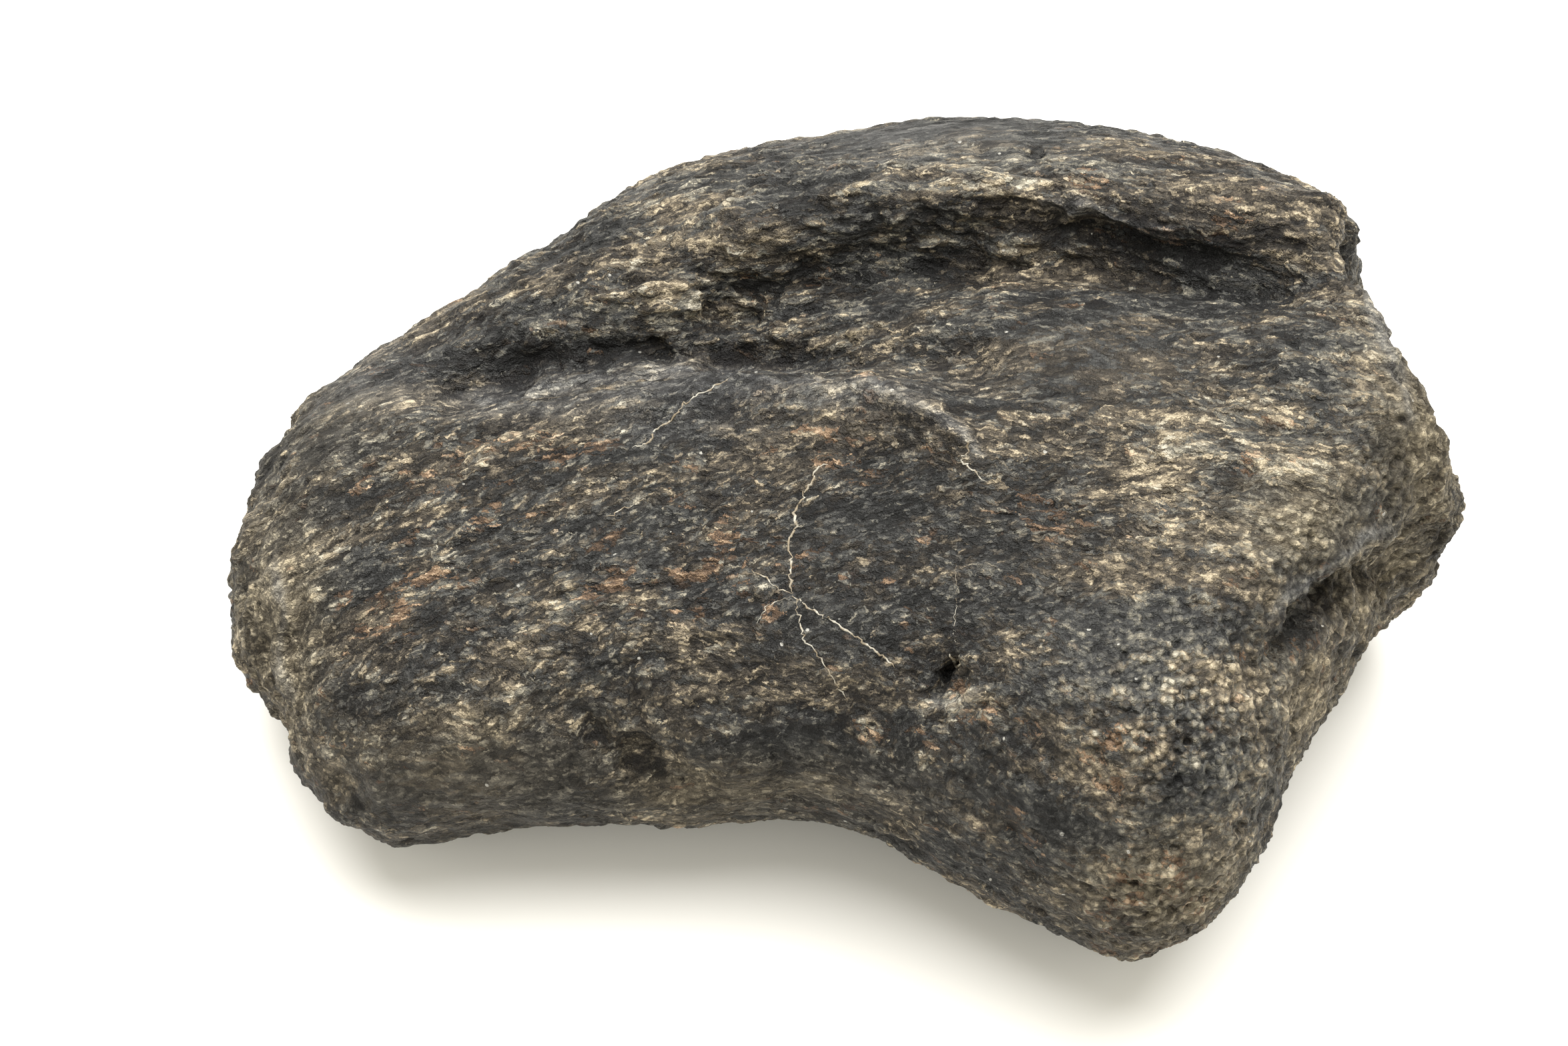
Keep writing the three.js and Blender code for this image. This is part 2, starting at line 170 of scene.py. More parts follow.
# Zones of the near flank: a centre and two radii in photo pixels, and how strong the zone is.
ZONES = {
    "cream": [
        ((1850, 660), (210, 110), 1.0), ((1740, 1000), (170, 150), 0.95), ((1830, 1160), (100, 130), 0.6),
        ((1860, 760), (180, 90), 0.8), ((1480, 255), (170, 45), 0.9), ((1000, 330), (170, 60), 0.75),
        ((1050, 470), (330, 50), 0.7), ((1700, 480), (250, 60), 0.25), ((900, 830), (330, 110), 0.2),
        ((1300, 430), (150, 60), 0.35), ((880, 920), (230, 80), 0.2), ((1600, 900), (200, 120), 0.1),
        ((600, 640), (120, 80), 0.3), ((410, 940), (35, 130), 0.3), ((1450, 700), (90, 50), 0.15),
        ((1750, 1230), (120, 90), 0.6), ((2040, 560), (60, 130), 0.9), ((1432, 1056), (62, 26), 1.0),
    ],
    "rust": [
        ((870, 680), (70, 35), 1.0), ((640, 870), (50, 25), 1.0), ((590, 920), (60, 40), 0.8),
        ((1300, 700), (120, 50), 0.6), ((1445, 1056), (60, 36), 0.8), ((1560, 760), (150, 60), 0.5),
        ((1750, 350), (120, 25), 0.8), ((1100, 850), (250, 90), 0.5), ((1730, 1330), (110, 70), 0.7),
        ((1620, 1150), (150, 80), 0.35), ((700, 760), (260, 90), 0.35), ((1340, 1110), (90, 40), 0.6),
    ],
    # Pale zones: partly pale bone, partly a painted highlight on the crest and the back
    "pale": [
        ((980, 575), (190, 30), 0.9), ((770, 600), (120, 25), 0.8), ((1280, 585), (140, 25), 0.7),
        ((1000, 630), (110, 35), 0.5), ((1350, 210), (200, 35), 0.35), ((560, 560), (130, 60), 0.4),
        ((1320, 1190), (90, 30), 0.25),
    ],
    # Wear, and painted light that makes the joint face, the tip and the lower rims lighter
    "worn": [
        ((2140, 640), (70, 260), 1.0), ((2080, 880), (110, 90), 0.9), ((1960, 780), (90, 80), 0.8),
        ((1990, 1080), (80, 110), 0.7), ((415, 960), (70, 200), 1.0), ((1100, 1190), (220, 50), 0.8),
        ((1760, 1350), (150, 80), 0.9), ((450, 640), (110, 90), 0.35), ((700, 1150), (300, 90), 0.45),
    ],
    "smooth": [
        ((1640, 540), (160, 75), 1.0), ((1350, 200), (230, 28), 1.0), ((1180, 640), (170, 45), 0.5),
        ((640, 1180), (240, 80), 0.8), ((1250, 820), (120, 80), 0.4), ((1120, 1190), (200, 45), 0.7),
        ((520, 600), (110, 60), 0.6), ((1500, 1230), (110, 60), 0.5), ((1230, 950), (90, 60), 0.5),
    ],
    "flaky": [
        ((1050, 450), (330, 90), 1.0), ((1500, 330), (420, 100), 0.9), ((900, 350), (220, 90), 0.8),
        ((1250, 290), (250, 60), 0.7), ((1750, 620), (250, 90), 0.4), ((900, 850), (330, 120), 0.45),
    ],
    "granular": [
        ((1780, 1080), (220, 230), 1.0), ((1740, 1330), (140, 90), 1.0), ((1960, 860), (160, 130), 0.8),
        ((2080, 700), (90, 170), 0.7),
    ],
}

# Pale mineral threads that fill old cracks: each with its width in millimetres.
VEINS = [
    {"at": "main thread", "width": 0.17,
     "path": [(1239, 696), (1225, 703), (1204, 745), (1190, 769), (1194, 790), (1183, 808), (1185, 839),
              (1183, 881), (1190, 893)]},
    {"at": "thread down to the heel", "width": 0.14,
     "path": [(1190, 893), (1213, 913), (1260, 939), (1292, 962), (1327, 987), (1345, 1004)]},
    {"at": "thin thread to the belly", "width": 0.10,
     "path": [(1192, 895), (1197, 920), (1204, 959), (1222, 976), (1239, 1001), (1257, 1032), (1269, 1053)]},
    {"at": "short thread to the left", "width": 0.10,
     "path": [(1188, 890), (1169, 883), (1145, 864), (1124, 853)]},
    {"at": "faint thread to the left", "width": 0.07,
     "path": [(1186, 894), (1148, 910), (1132, 938)]},
    {"at": "thread below the crest", "width": 0.14,
     "path": [(1088, 569), (1060, 585), (1027, 603), (1011, 626), (981, 645), (973, 665), (946, 670)]},
    {"at": "thread left of the middle", "width": 0.09,
     "path": [(969, 745), (950, 757), (931, 764), (906, 777)]},
    {"at": "thread at the crest's end", "width": 0.13,
     "path": [(1446, 653), (1452, 678), (1438, 689), (1464, 710), (1478, 724)]},
    {"at": "white spot above the hole", "width": 0.34,
     "path": [(1422, 980), (1430, 988), (1434, 998), (1442, 986)]},
    {"at": "thread above the hole", "width": 0.035,
     "path": [(1432, 846), (1434, 890), (1430, 930), (1434, 975)]},
]


def smoothstep(low, high, value):
    share = np.clip((value - low) / (high - low), 0, 1)
    return share * share * (3 - 2 * share)


# Noise

HASH_X = np.uint32(0x9E3779B1)
HASH_Y = np.uint32(0x85EBCA77)
HASH_Z = np.uint32(0xC2B2AE3D)
HASH_SEED = 7919
# Each round of the hash: how many bits it shifts by, and its factor
HASH_ROUNDS = ((15, 0x2C1B3C6D), (12, 0x297A2D39))
HASH_LAST_SHIFT = 15

# Where the middle of a splinter starts to fade and where it has gone, in cell widths
SPLINTER_FADE = (0.1, 0.75)

# The part of each terrace over which it rises to the next
TERRACE_RISE = (0.3, 0.6)


def lattice_values(cells, seed):
    """An even draw from -1 to 1 at each corner of a lattice, the same on every run."""
    x, y, z = (cells[:, axis].astype(np.uint32) for axis in range(3))
    mixed = x * HASH_X ^ y * HASH_Y ^ z * HASH_Z ^ np.uint32(seed * HASH_SEED)
    for shift, factor in HASH_ROUNDS:
        mixed ^= mixed >> np.uint32(shift)
        mixed *= np.uint32(factor)
    mixed ^= mixed >> np.uint32(HASH_LAST_SHIFT)
    return mixed / 2**31 - 1


def noise(points, seed):
    """Smooth noise from -1 to 1, with one bump about every unit."""
    base = np.floor(points)
    part = points - base
    part = part * part * part * (part * (part * 6 - 15) + 10)
    cells = base.astype(np.int64)
    total = np.zeros(len(points))
    for corner in itertools.product((0, 1), repeat=3):
        weight = np.prod(np.where(corner, part, 1 - part), axis=1)
        total += weight * lattice_values(cells + corner, seed)
    return total


def layered(points, octaves, seed):
    """Noise with finer and weaker noise on top of it."""
    total = np.zeros(len(points))
    size = 1.0
    for octave in range(octaves):
        total += size * noise(points * 2**octave, seed + octave)
        size *= 0.5
    return total


def splinters(points, seed):
    """A random value for the cell that each point is in, and how near the point is to its middle, 0 to 1."""
    base = np.floor(points)
    part = points - base
    cells = base.astype(np.int64)
    nearest = np.full(len(points), np.inf)
    value = np.zeros(len(points))
    for corner in itertools.product((-1, 0, 1), repeat=3):
        cell = cells + corner
        spot = np.column_stack([lattice_values(cell, seed + axis) for axis in range(3)]) / 2 + 0.5
        distance = ((spot + corner - part) ** 2).sum(1)
        closer = distance < nearest
        nearest[closer] = distance[closer]
        value[closer] = lattice_values(cell[closer], seed + 3)
    return value, 1 - smoothstep(*SPLINTER_FADE, np.sqrt(nearest))


def terraced(value):
    """Turns a smooth slope into flat steps with short rises between them."""
    whole = np.floor(value)
    return whole + smoothstep(*TERRACE_RISE, value - whole)


# Borders of grooves and zones are ragged: the size and the depth of their notches in photo pixels
RAG_SIZE = 30
RAG_DEPTH = 7
RAG_LAYERS = 2
RAG_SEEDS = (7, 8)

# How squarely a place faces the camera where the photo starts to count, and where it counts fully
FACING_RANGE = (0.0, 0.35)

# Slow waves in the grain: each with its length and its height in millimetres, and its seed
GRAIN_WAVES = ((14.0, 0.5, 3), (2.0, 0.1, 4))

# A stroke's width and depth swell along it. A swell's length is in photo pixels.
STROKE_SWELL = 55
STROKE_WIDTH_CHANGE = 0.4
STROKE_DEPTH = 0.8
STROKE_DEPTH_CHANGE = 0.35
STROKE_DEPTH_SWELLS = 1.7
STROKE_WIDTH_SEED = 5
STROKE_DEPTH_SEED = 6

# Both ends thin out over this many widths, or over a third of a short stroke, and start outside it.
STROKE_END_WIDTHS = 2.5
STROKE_END_PARTS = 3
STROKE_END_START = -0.3


# Where a point lies on the bone

def middle_height(x):
    return MIDDLE_AT_TIP + (MIDDLE_AT_JOINT - MIDDLE_AT_TIP) * smoothstep(TIP_X, JOINT_X, x)


def picture_place(points):
    """The photo pixel at which each point shows."""
    away = points - EYE
    depth = -(away @ BACK)
    across = PHOTO_SIZE[0] / 2 + FOCAL_PIXELS * (away @ RIGHT) / depth
    down = PHOTO_SIZE[1] / 2 - FOCAL_PIXELS * (away @ UP) / depth
    return np.column_stack([across, down])


def flank_place(points, normals):
    """Each point's photo pixel and how much it counts. The far flank is read as in a mirror."""
    far = points[:, 2] < middle_height(points[:, 0])
    mirrored = points.copy()
    mirrored[far, 2] = 2 * middle_height(points[far, 0]) - points[far, 2]
    facing = normals @ BACK
    facing[far] = (normals[far] * (1, 1, -1)) @ BACK
    share = smoothstep(*FACING_RANGE, facing) * np.where(far, FAR_SHARE, 1.0)
    pixels = picture_place(mirrored)
    spots = points * PIXELS_PER_MM / RAG_SIZE
    notches = np.column_stack([layered(spots, RAG_LAYERS, seed) for seed in RAG_SEEDS])
    return pixels + RAG_DEPTH * notches, share


def grain_place(points):
    """Along the grain, across it, and up."""
    x = points[:, 0] - GRAIN_CENTRE[0]
    y = points[:, 1] - GRAIN_CENTRE[1]
    waver = sum(height * noise(points / length, seed) for length, height, seed in GRAIN_WAVES)
    return np.column_stack([GRAIN_RADIUS * np.arctan2(x, y), np.hypot(x, y) + waver, points[:, 2] + waver])


def stroke(pixels, path, width):
    """1 on a path in the picture, falling to 0 away from it and at both ends."""
    lengths = np.hypot(*np.diff(path, axis=0).T)
    starts = np.concatenate([[0], np.cumsum(lengths)])
    nearest = np.full(len(pixels), np.inf)
    along = np.zeros(len(pixels))
    for i, (start, end) in enumerate(zip(path, path[1:])):
        span = np.subtract(end, start)
        share = np.clip((pixels - start) @ span / (span @ span), 0, 1)
        away = pixels - start - share[:, None] * span
        distance = np.hypot(away[:, 0], away[:, 1])
        closer = distance < nearest
        nearest[closer] = distance[closer]
        along[closer] = (starts[i] + share * lengths[i])[closer]
    place = np.column_stack([along / STROKE_SWELL, np.full(len(along), width), along * 0])
    uneven = 1 + STROKE_WIDTH_CHANGE * noise(place, STROKE_WIDTH_SEED)
    depth = STROKE_DEPTH + STROKE_DEPTH_CHANGE * noise(place * STROKE_DEPTH_SWELLS, STROKE_DEPTH_SEED)
    ends = min(STROKE_END_WIDTHS * width, starts[-1] / STROKE_END_PARTS)
    outset = STROKE_END_START * ends
    taper = smoothstep(outset, ends, along) * smoothstep(outset, ends, starts[-1] - along)
    return depth * taper * np.exp(-((nearest / (width * uneven)) ** 2))


def zone(pixels, name):
    """How strongly a named kind of zone holds at each pixel, 0 to 1."""
    strength = np.zeros(len(pixels))
    for centre, radii, most in ZONES[name]:
        away = (pixels - centre) / radii
        strength = np.maximum(strength, most * np.exp(-(away**2).sum(1)))
    return strength


def line_share(pixels, name):
    """How strongly the painted lines of one kind hold at each pixel, 0 to 1."""
    strength = np.zeros(len(pixels))
    for line in PAINTED_LINES[name]:
        strength = np.maximum(strength, line["strength"] * stroke(pixels, line["path"], line["width"]))
    return strength


# The bone's fine surface

SMOOTH_LEVELS = 3
SAME_PLACE = 1e-6

# Noise in the surface: the size of its bumps in millimetres, or along the grain, across it and up,
# then how many layers it has, and its seed
SWELL = (8.0, 3, 11)
EDGE_LUMPS = (3.2, 3, 23)
EDGE_BREAKS = (2.1, 3, 29)
LEDGES = ((6.5, 1.9, 1.9), 3, 41)
GRAINS = (0.62, 3, 71)
PITS = (0.6, 2, 83)
CREAM_PATCHES = (6.0, 3, 97)
RUST_PATCHES = (5.0, 3, 101)
TONE_PATCHES = ((9.0, 3.0, 3.0), 4, 109)

# Splinters: their size along the grain, across it and up, and their seed
WIDE_SPLINTERS = ((2.8, 0.95, 0.95), 53)
THIN_SPLINTERS = ((1.5, 0.5, 0.5), 67)

# The joint face is a step lower than the flank: its border and the step's width in photo pixels
JOINT_BORDER = [(2030, 300), (2050, 440), (2095, 565), (2112, 647), (2120, 760), (2060, 850)]
JOINT_STEP = 0.3
JOINT_STEP_RANGE = (-8, 14)

# Where parts of the bone begin and where they are fully there: the rim by how steep it is, others by X
RIM_RANGE = (0.85, 0.35)
TIP_RANGE = (-20, -36)
JOINT_EDGE_RANGE = (22, 33)
JOINT_SPONGE_RANGE = (20, 36)
JOINT_FACE_RANGE = (26, 34)

# Heights in millimetres. Where there are two, the second is added as its zone grows stronger.
SWELL_HEIGHT = 0.22
EDGE_LUMP_HEIGHT = 0.14
TIP_LUMP_HEIGHT = 0.4
JOINT_LUMP_HEIGHT = 0.28
BREAK_DEPTH = (0.35, 0.3)
LEDGE_HEIGHT = 0.55
WIDE_HEIGHT = (0.08, 0.40)
THIN_HEIGHT = (0.08, 0.24)
GRAIN_HEIGHT = (0.04, 0.20)
PIT_DEPTH = (0.12, 0.35)

# Breaks and pits are where their noise is over these levels.
BREAK_LEVEL = 0.35
PIT_LEVEL = 0.3

# Steps in the noise of the ledges
LEDGE_STEPS = 2.2

# The borders of splinters are jagged: the size and depth of their notches in millimetres
JAG_SIZE = 0.7
JAG_DEPTH = 0.16
JAG_SEEDS = (47, 48, 49)

# Each splinter has a hump, and is sunk so that it adds no thickness.
SPLINTER_HUMP = 0.5
SPLINTER_SINK = 0.3

# The least flakes anywhere, sponge at the joint, and what sponge and smooth bone take from the relief
FLAKY_LEAST = 0.25
JOINT_SPONGE = 0.6
SPONGE_LOSS = 0.6
SMOOTH_LOSS = 0.72

# The tone at the borders of splinters, and what wide and thin ones add to it
MIDDLE_TONE = 0.5
WIDE_TONE = 0.3
THIN_TONE = 0.2

# How strongly zones are painted, and the patches where the photo shows nothing
CREAM_RANGE = (-0.1, 0.8)
RUST_RANGE = (0.15, 0.9)
CREAM_LEAST = 0.1
HIDDEN_CREAM = 0.6
RUST_SHARE = (0.35, 0.3)
PALE_ZONE_SHARE = 0.8
HIDDEN_WEAR_AND_LIGHT = 0.85
HIDDEN_SPONGE = 0.7
RELIEF_SPAN = 0.9

# The bone stays flat where it rests: the heights over which its surface comes in
REST_RANGE = (0.0, 1.2)


def read_vectors(collection, field):
    values = np.empty(len(collection) * 3)
    collection.foreach_get(field, values)
    return values.reshape(-1, 3)


def write_points(mesh, points):
    mesh.vertices.foreach_set("co", (points * MM).ravel())
    mesh.update()


def vertex_normals(mesh):
    return read_vectors(mesh.vertex_normals, "vector")


def new_object(name, data):
    made = bpy.data.objects.new(name, data)
    bpy.context.scene.collection.objects.link(made)
    return made


def smooth_copy(source, name):
    """A finer, rounder copy of a node's mesh."""
    shape = bmesh.new()
    shape.from_mesh(source.data)
    bmesh.ops.remove_doubles(shape, verts=shape.verts, dist=SAME_PLACE)
    bmesh.ops.join_triangles(
        shape, faces=shape.faces, angle_face_threshold=math.pi, angle_shape_threshold=math.pi
    )
    coarse = bpy.data.meshes.new(name)
    shape.to_mesh(coarse)
    shape.free()
    made = new_object(name, coarse)
    rounder = made.modifiers.new("rounder", "SUBSURF")
    rounder.levels = SMOOTH_LEVELS
    depsgraph = bpy.context.evaluated_depsgraph_get()
    fine = bpy.data.meshes.new_from_object(made.evaluated_get(depsgraph))
    made.modifiers.clear()
    made.data = fine
    bpy.data.meshes.remove(coarse)
    fine.name = name
    fine.materials.clear()
    fine.shade_smooth()
    return made


def bumps(points, kind):
    """Noise of one of the kinds named above."""
    size, layers, seed = kind
    return layered(points / size, layers, seed)


def by_share(amounts, share):
    """The first amount, with as much of the second as the share says."""
    least, more = amounts
    return least + more * share


def large_forms(points, normals):
    """Grooves, ridges and pits, and the slow swell of weathered bone."""
    pixels, share = flank_place(points, normals)
    height = SWELL_HEIGHT * bumps(points, SWELL)
    for form in FORMS:
        height += form["rise"] * share * stroke(pixels, form["path"], form["width"])
    across, down = zip(*JOINT_BORDER)
    past_border = pixels[:, 0] - np.interp(pixels[:, 1], down, across)
    height -= JOINT_STEP * share * smoothstep(*JOINT_STEP_RANGE, past_border)
    return height


def rim_share(normals):
    """1 on the bone's edge, 0 on its flanks."""
    return smoothstep(*RIM_RANGE, np.abs(normals[:, 2]))


def chips(points, normals):
    """Worn lumps and small breaks along the edge, strongest at the tip and the joint."""
    tip = smoothstep(*TIP_RANGE, points[:, 0])
    joint = smoothstep(*JOINT_EDGE_RANGE, points[:, 0])
    lumps = bumps(points, EDGE_LUMPS)
    breaks = -np.maximum(0, bumps(points, EDGE_BREAKS) - BREAK_LEVEL)
    lump_height = EDGE_LUMP_HEIGHT + TIP_LUMP_HEIGHT * tip + JOINT_LUMP_HEIGHT * joint
    return rim_share(normals) * (lump_height * lumps + by_share(BREAK_DEPTH, joint) * breaks)


def splinter_rise(value, middle):
    return value * middle + SPLINTER_HUMP * middle - SPLINTER_SINK


def grain_relief(points, normals):
    """Flakes, fibres and pits of the weathered surface, and the tone that the splinters give."""
    pixels, share = flank_place(points, normals)
    grain = grain_place(points)
    smooth = zone(pixels, "smooth") * share
    flaky = np.maximum(zone(pixels, "flaky") * share, FLAKY_LEAST)
    joint = smoothstep(*JOINT_SPONGE_RANGE, points[:, 0])
    granular = np.maximum(zone(pixels, "granular") * share, joint * JOINT_SPONGE)
    steps = terraced(LEDGE_STEPS * bumps(grain, LEDGES)) / LEDGE_STEPS
    notches = np.column_stack([noise(points / JAG_SIZE, seed) for seed in JAG_SEEDS])
    jagged = grain + JAG_DEPTH * notches
    (wide_size, wide_seed), (thin_size, thin_seed) = WIDE_SPLINTERS, THIN_SPLINTERS
    wide, wide_middle = splinters(jagged / wide_size, wide_seed)
    thin, thin_middle = splinters(jagged / thin_size, thin_seed)
    pits = -np.maximum(0, bumps(points, PITS) - PIT_LEVEL)
    fibrous = 1 - SPONGE_LOSS * granular
    height = LEDGE_HEIGHT * flaky * steps
    height += by_share(WIDE_HEIGHT, flaky) * fibrous * splinter_rise(wide, wide_middle)
    height += by_share(THIN_HEIGHT, flaky) * fibrous * splinter_rise(thin, thin_middle)
    height += by_share(GRAIN_HEIGHT, granular) * bumps(points, GRAINS)
    height += by_share(PIT_DEPTH, granular) * pits
    tone = MIDDLE_TONE + WIDE_TONE * wide * wide_middle + THIN_TONE * thin * thin_middle
    return height * (1 - SMOOTH_LOSS * smooth), tone


def paint(mesh, name, values):
    layer = mesh.attributes.new(name, "FLOAT", "POINT")
    layer.data.foreach_set("value", np.clip(values, 0, 1).astype(np.float32))


def paint_zones(mesh, points, normals, relief, tone):
    """Stores how each zone holds at each point, for the material."""
    pixels, share = flank_place(points, normals)
    hidden = 1 - np.clip(share / FAR_SHARE, 0, 1)
    zones = {name: zone(pixels, name) * share for name in ("cream", "rust", "worn", "smooth", "granular")}
    cream_patches = smoothstep(*CREAM_RANGE, bumps(points, CREAM_PATCHES))
    rust_patches = smoothstep(*RUST_RANGE, bumps(points, RUST_PATCHES))
    joint = smoothstep(*JOINT_FACE_RANGE, points[:, 0])
    pale = np.maximum(zone(pixels, "pale") * PALE_ZONE_SHARE, line_share(pixels, "pale"))
    paint(mesh, "cream", zones["cream"] + HIDDEN_CREAM * cream_patches * hidden + CREAM_LEAST)
    paint(mesh, "rust", zones["rust"] + by_share(RUST_SHARE, hidden) * rust_patches)
    # Pale bone and painted highlight on crests and rims
    paint(mesh, "pale", pale * share)
    # Painted shade along the dark lines
    paint(mesh, "shade", line_share(pixels, "shade") * share)
    # Wear with painted light on the joint face and rims; the hidden joint face gets it too
    paint(mesh, "worn", np.maximum(zones["worn"], joint * HIDDEN_WEAR_AND_LIGHT * hidden))
    paint(mesh, "smooth_share", zones["smooth"])
    paint(mesh, "granular", np.maximum(zones["granular"], joint * HIDDEN_SPONGE * hidden))
    # Relief for the tone: painted light on raised grain, painted shade in its crevices
    paint(mesh, "relief", 0.5 + relief / RELIEF_SPAN)
    paint(mesh, "tone", tone)
    paint(mesh, "patches", 0.5 + 0.5 * bumps(grain_place(points), TONE_PATCHES))


# Texture map for baking: the six sides of a box, laid out side by side.

MAP_GAP = 2.0
MAP_TILES = {
    # axis, sign: (lower left corner of the tile, axis across, axis up), in millimetres
    (2, 1): ((0, 0), 0, 1),
    (2, -1): ((82, 0), 0, 1),
    (1, 1): ((0, 62), 0, 2),
    (1, -1): ((82, 62), 0, 2),
    (0, 1): ((0, 94), 1, 2),
    (0, -1): ((62, 94), 1, 2),
}
MAP_SIDE = 166


def add_bake_map(mesh, points, normals):
    """Lays each face flat in the tile of the box side that its smooth shape faces most."""
    corner_count = len(mesh.loops)
    corners = np.empty(corner_count, np.int64)
    mesh.loops.foreach_get("vertex_index", corners)
    starts = np.empty(len(mesh.polygons), np.int64)
    mesh.polygons.foreach_get("loop_start", starts)
    counts = np.diff(np.append(starts, corner_count))
    face_normals = np.add.reduceat(normals[corners], starts)
    axis = np.abs(face_normals).argmax(1)
    sign = np.sign(face_normals[np.arange(len(axis)), axis])
    corner_axis = np.repeat(axis, counts)
    corner_sign = np.repeat(sign, counts)
    low = points.min(0) - MAP_GAP / 2
    places = np.zeros((corner_count, 2))
    for (side, way), (tile, across, up) in MAP_TILES.items():
        here = (corner_axis == side) & (corner_sign == way)
        flat = points[corners[here]][:, [across, up]] - low[[across, up]]
        places[here] = (flat + tile) / MAP_SIDE
    layer = mesh.uv_layers.new(name="OFBake")
    layer.data.foreach_set("uv", places.ravel())


def bone_surface():
    made = smooth_copy(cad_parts["claw_bone"], "claw_bone_surface")
    mesh = made.data
    points = read_vectors(mesh.vertices, "co") / MM
    normals = vertex_normals(mesh)
    add_bake_map(mesh, points, normals)
    rest_share = smoothstep(*REST_RANGE, points[:, 2])[:, None]

    height = large_forms(points, normals) + chips(points, normals)
    points = points + normals * height[:, None] * rest_share
    write_points(mesh, points)
    normals = vertex_normals(mesh)

    relief, tone = grain_relief(points, normals)
    points = points + normals * relief[:, None] * rest_share
    points[:, 2] = np.maximum(points[:, 2], 0)
    write_points(mesh, points)
    paint_zones(mesh, points, normals, relief, tone)
    return made


# Mineral threads: the steps along their paths and how far they wander, in photo pixels
THREAD_STEP = 4.0
THREAD_WANDER = 1.6
THREAD_LEAST_STATIONS = 4
THREAD_SEED = 17

# Their tubes: how deep they are sunk in radii, the stations over which an end thins out, and the
# range of the radius
THREAD_SIDES = 6
THREAD_SINK = 0.25
THREAD_TAPER = 4
THREAD_SWELL = (0.35, 1.4)
NO_LENGTH = 1e-6


def surface_tree(surface):
    mesh = surface.data
    points = read_vectors(mesh.vertices, "co") / MM
    faces = [tuple(face.vertices) for face in mesh.polygons]
    return BVHTree.FromPolygons([tuple(p) for p in points], faces)


def cast(tree, pixel):
    """The place on the bone that shows at a photo pixel, and the surface's normal there."""
    across = (pixel[0] - PHOTO_SIZE[0] / 2) / FOCAL_PIXELS
    up = (PHOTO_SIZE[1] / 2 - pixel[1]) / FOCAL_PIXELS
    direction = across * RIGHT + up * UP - BACK
    place, normal, _, _ = tree.ray_cast(Vector(EYE), Vector(direction).normalized())
    return (np.array(place), np.array(normal)) if place else (None, None)


def thread_stations(tree, vein, draw):
    """Places along a vein, a few pixels apart and a little off the straight line."""
    path = np.array(vein["path"], float)
    lengths = np.hypot(*np.diff(path, axis=0).T)
    along = np.concatenate([[0], np.cumsum(lengths)])
    marks = np.arange(0, along[-1], THREAD_STEP)
    across = np.interp(marks, along, path[:, 0])
    down = np.interp(marks, along, path[:, 1])
    wander = draw.normal(0, THREAD_WANDER, (len(marks), 2))
    stations = [cast(tree, (x + dx, y + dy)) for x, y, (dx, dy) in zip(across, down, wander)]
    return [(place, normal) for place, normal in stations if place is not None]


def add_thread(shape, stations, width, draw):
    """A thin closed tube, half sunk in the bone, that thins out at both ends."""
    rings = []
    count = len(stations)
    for i, (place, normal) in enumerate(stations):
        ahead = stations[min(i + 1, count - 1)][0] - stations[max(i - 1, 0)][0]
        ahead = ahead / max(np.linalg.norm(ahead), NO_LENGTH)
        side = np.cross(normal, ahead)
        side /= max(np.linalg.norm(side), NO_LENGTH)
        taper = min(1, (i + 1) / THREAD_TAPER, (count - i) / THREAD_TAPER)
        radius = width / 2 * taper * draw.uniform(*THREAD_SWELL)
        centre = place - normal * THREAD_SINK * radius
        ring = []
        for turn in range(THREAD_SIDES):
            angle = 2 * math.pi * turn / THREAD_SIDES
            spot = centre + radius * (math.cos(angle) * side + math.sin(angle) * normal)
            ring.append(shape.verts.new(spot * MM))
        rings.append(ring)
    for ring, after in zip(rings, rings[1:]):
        for turn in range(THREAD_SIDES):
            beside = (turn + 1) % THREAD_SIDES
            shape.faces.new((ring[turn], ring[beside], after[beside], after[turn]))
    shape.faces.new(rings[0][::-1])
    shape.faces.new(rings[-1])


def mineral_threads(tree):
    draw = np.random.default_rng(THREAD_SEED)
    shape = bmesh.new()
    for vein in VEINS:
        stations = thread_stations(tree, vein, draw)
        if len(stations) >= THREAD_LEAST_STATIONS:
            add_thread(shape, stations, vein["width"], draw)
    bmesh.ops.recalc_face_normals(shape, faces=shape.faces)
    mesh = bpy.data.meshes.new("mineral_threads")
    shape.to_mesh(mesh)
    shape.free()
    mesh.shade_smooth()
    return new_object("mineral_threads", mesh)


# Material parts

def set_inputs(tree, node, inputs):
    """Links the inputs that are given sockets, and sets those that are given values."""
    for name, value in inputs.items():
        if isinstance(value, bpy.types.NodeSocket):
            tree.links.new(value, node.inputs[name])
        else:
            node.inputs[name].default_value = value


def add_node(tree, kind, inputs=None, **settings):
    made = tree.nodes.new(kind)
    for name, value in settings.items():
        setattr(made, name, value)
    set_inputs(tree, made, inputs or {})
    return made


def math_node(tree, operation, first, second=0.0):
    return add_node(tree, "ShaderNodeMath", {0: first, 1: second}, operation=operation).outputs[0]


def vector_node(tree, operation, first, second):
    return add_node(tree, "ShaderNodeVectorMath", {0: first, 1: second}, operation=operation).outputs[0]


def times(tree, *values):
    product = values[0]
    for value in values[1:]:
        product = math_node(tree, "MULTIPLY", product, value)
    return product


def plus(tree, *values):
    total = values[0]
    for value in values[1:]:
        total = math_node(tree, "ADD", total, value)
    return total


def centred(tree, value, middle=0.5):
    return plus(tree, value, -middle)


def weighted(tree, weights, values):
    """The sum of named values, each times its weight."""
    return plus(tree, *(times(tree, values[name], weight) for name, weight in weights.items()))


def mix_colour(tree, share, first, second):
    return add_node(tree, "ShaderNodeMix", {0: share, 6: first, 7: second}, data_type="RGBA").outputs[2]


